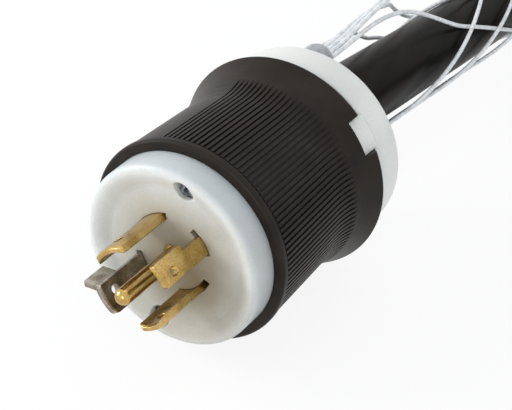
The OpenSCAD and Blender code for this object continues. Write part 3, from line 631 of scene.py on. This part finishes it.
class PLUG_OT_mesh_grip(bpy.types.Operator):
    """Makes the wires of the mesh grip"""

    bl_idname = "plug.mesh_grip"
    bl_label = "Mesh grip"

    def execute(self, context):
        wire = sizes().wire_radius * 1000
        inner = sizes().cord_radius * 1000 + LAYER_GAP + wire
        # Each layer's seat on the cord, and its wires: anchor, sense, start of the turn,
        # landing, bow, lean, place beside the anchor's middle
        layers = {
            "mesh_strands_right": (inner, [
                (1, 1, 44, 72, 5.5, 0, 3), (1, 1, 86, 94, 10, 0, 1),
                (-1, 1, 0, 26, 0, 0, 3), (-1, 1, 32, 30, 0, 0, 1)]),
            "mesh_strands_left": (inner + 2 * wire + LAYER_GAP, [
                (1, -1, 16, 44, 2, 0, 5), (1, -1, 36, 70, 6, 0, 3), (1, -1, 66, 104, 10, 0, 1),
                (-1, -1, 22, 24, 0, 30, 5), (-1, -1, 48, 26, 0, 30, 3),
                (-1, -1, 76, 26, 0, 30, 1)])}
        mat = galvanised("galvanised wire, stranded", colours().wire, "#d2d6d8")
        for node, (seat, rows) in layers.items():
            verts, faces = joined([
                tube(wire_path(*row, seat), wire / 1000, WIRE_SIDES, STRANDS, STRAND_PITCH)[:2]
                for row in rows])
            piece = as_object(node.replace("strands", "wires"), verts, faces, [node])
            piece.data.materials.append(mat)
        return {"FINISHED"}


class PLUG_OT_mouldings(bpy.types.Operator):
    """Finishes the moulded face, shell, grip ring, block and jaw"""

    bl_idname = "plug.mouldings"
    bl_label = "Mouldings"

    def execute(self, context):
        # The face's nylon has painted shade and painted brass reflection round its blades, and a
        # painted cool sheen on its rim
        wear("front_face", nylon("nylon, moulded white, painted shade round blades", colours().nylon, painted_shade_and_rim_sheen=True))
        wear("grip_ring", nylon("nylon, moulded white", colours().ring))
        wear("shell", shell_nylon("glass-filled nylon, moulded black", colours().shell))
        block = plain_plastic("nylon, moulded natural", "#cfd2cc")
        wear("terminal_block", block)
        wear("clamp_jaw", block)
        return {"FINISHED"}


class PLUG_OT_contacts(bpy.types.Operator):
    """Finishes the blades, the ground pin and what clamps the cores"""

    bl_idname = "plug.contacts"
    bl_label = "Contacts"

    def execute(self, context):
        gold = brass("brass, stamped", colours().brass, "#ae8f52", "#dcc28a")
        for node in ("blade_x", "blade_y", "blade_z", "ground_pin", "terminal_clamps",
                     "assembly_nuts"):
            wear(node, gold)
        wear("blade_neutral", brass("nickel plate over brass", "#aaa296", "#83786a", "#d6d3cd"))
        return {"FINISHED"}


class PLUG_OT_fittings(bpy.types.Operator):
    """Finishes the screws, the mesh anchors and the band"""

    bl_idname = "plug.fittings"
    bl_label = "Fittings"

    def execute(self, context):
        plated = zinc("steel, zinc plated", "#aab0b8", "#4c5058")
        for node in ("terminal_screws", "assembly_screws", "clamp_screws"):
            wear(node, plated)
        wear("mesh_anchors", galvanised("zinc casting, matt", "#a9adaf", "#8f9395"))
        wear("mesh_tail_band", zinc("steel band, swaged", "#9a9ea0", "#7f8385", 0.45))
        return {"FINISHED"}


class PLUG_OT_cores(bpy.types.Operator):
    """Finishes the insulated cores and the end of the jacket inside the plug"""

    bl_idname = "plug.cores"
    bl_label = "Cores"

    def execute(self, context):
        for name, code in (("black", "#2a2a2c"), ("red", "#a5282c"), ("blue", "#27519b"),
                           ("white", "#e6e4dc"), ("green", "#2c7a44")):
            mat = plain_plastic("PVC insulation, " + name, code, 0.4)
            wear("core_" + name, mat)
            wear("end_core_" + name, mat)
        wear("cord_jacket_end", bpy.data.materials["rubber jacket, extruded"])
        return {"FINISHED"}


class PLUG_PT_panel(bpy.types.Panel):
    """Lists the steps and the sizes in the 3D view's sidebar"""

    bl_idname = "PLUG_PT_panel"
    bl_label = "Locking plug"
    bl_space_type = "VIEW_3D"
    bl_region_type = "UI"
    bl_category = "Plug"

    def draw(self, context):
        for step in STEPS:
            self.layout.operator(step.bl_idname)
        for group in (context.scene.plug_sizes, context.scene.plug_colours):
            for key in group.__annotations__:
                self.layout.prop(group, key)


STEPS = (PLUG_OT_stage, PLUG_OT_cord, PLUG_OT_mesh_grip, PLUG_OT_mouldings, PLUG_OT_contacts,
         PLUG_OT_fittings, PLUG_OT_cores)
CLASSES = (PlugSizes, PlugColours, *STEPS, PLUG_PT_panel)


def register():
    """Adds the classes and gives the scene its sizes and colours."""
    for cls in CLASSES:
        bpy.utils.register_class(cls)
    bpy.types.Scene.plug_sizes = bpy.props.PointerProperty(type=PlugSizes)
    bpy.types.Scene.plug_colours = bpy.props.PointerProperty(type=PlugColours)


def unregister():
    """Takes them away again."""
    del bpy.types.Scene.plug_sizes
    del bpy.types.Scene.plug_colours
    for cls in reversed(CLASSES):
        bpy.utils.unregister_class(cls)


def main():
    """Runs every step in order."""
    register()
    for step in STEPS:
        group, name = step.bl_idname.split(".")
        getattr(getattr(bpy.ops, group), name)()


if __name__ == "__main__":
    main()
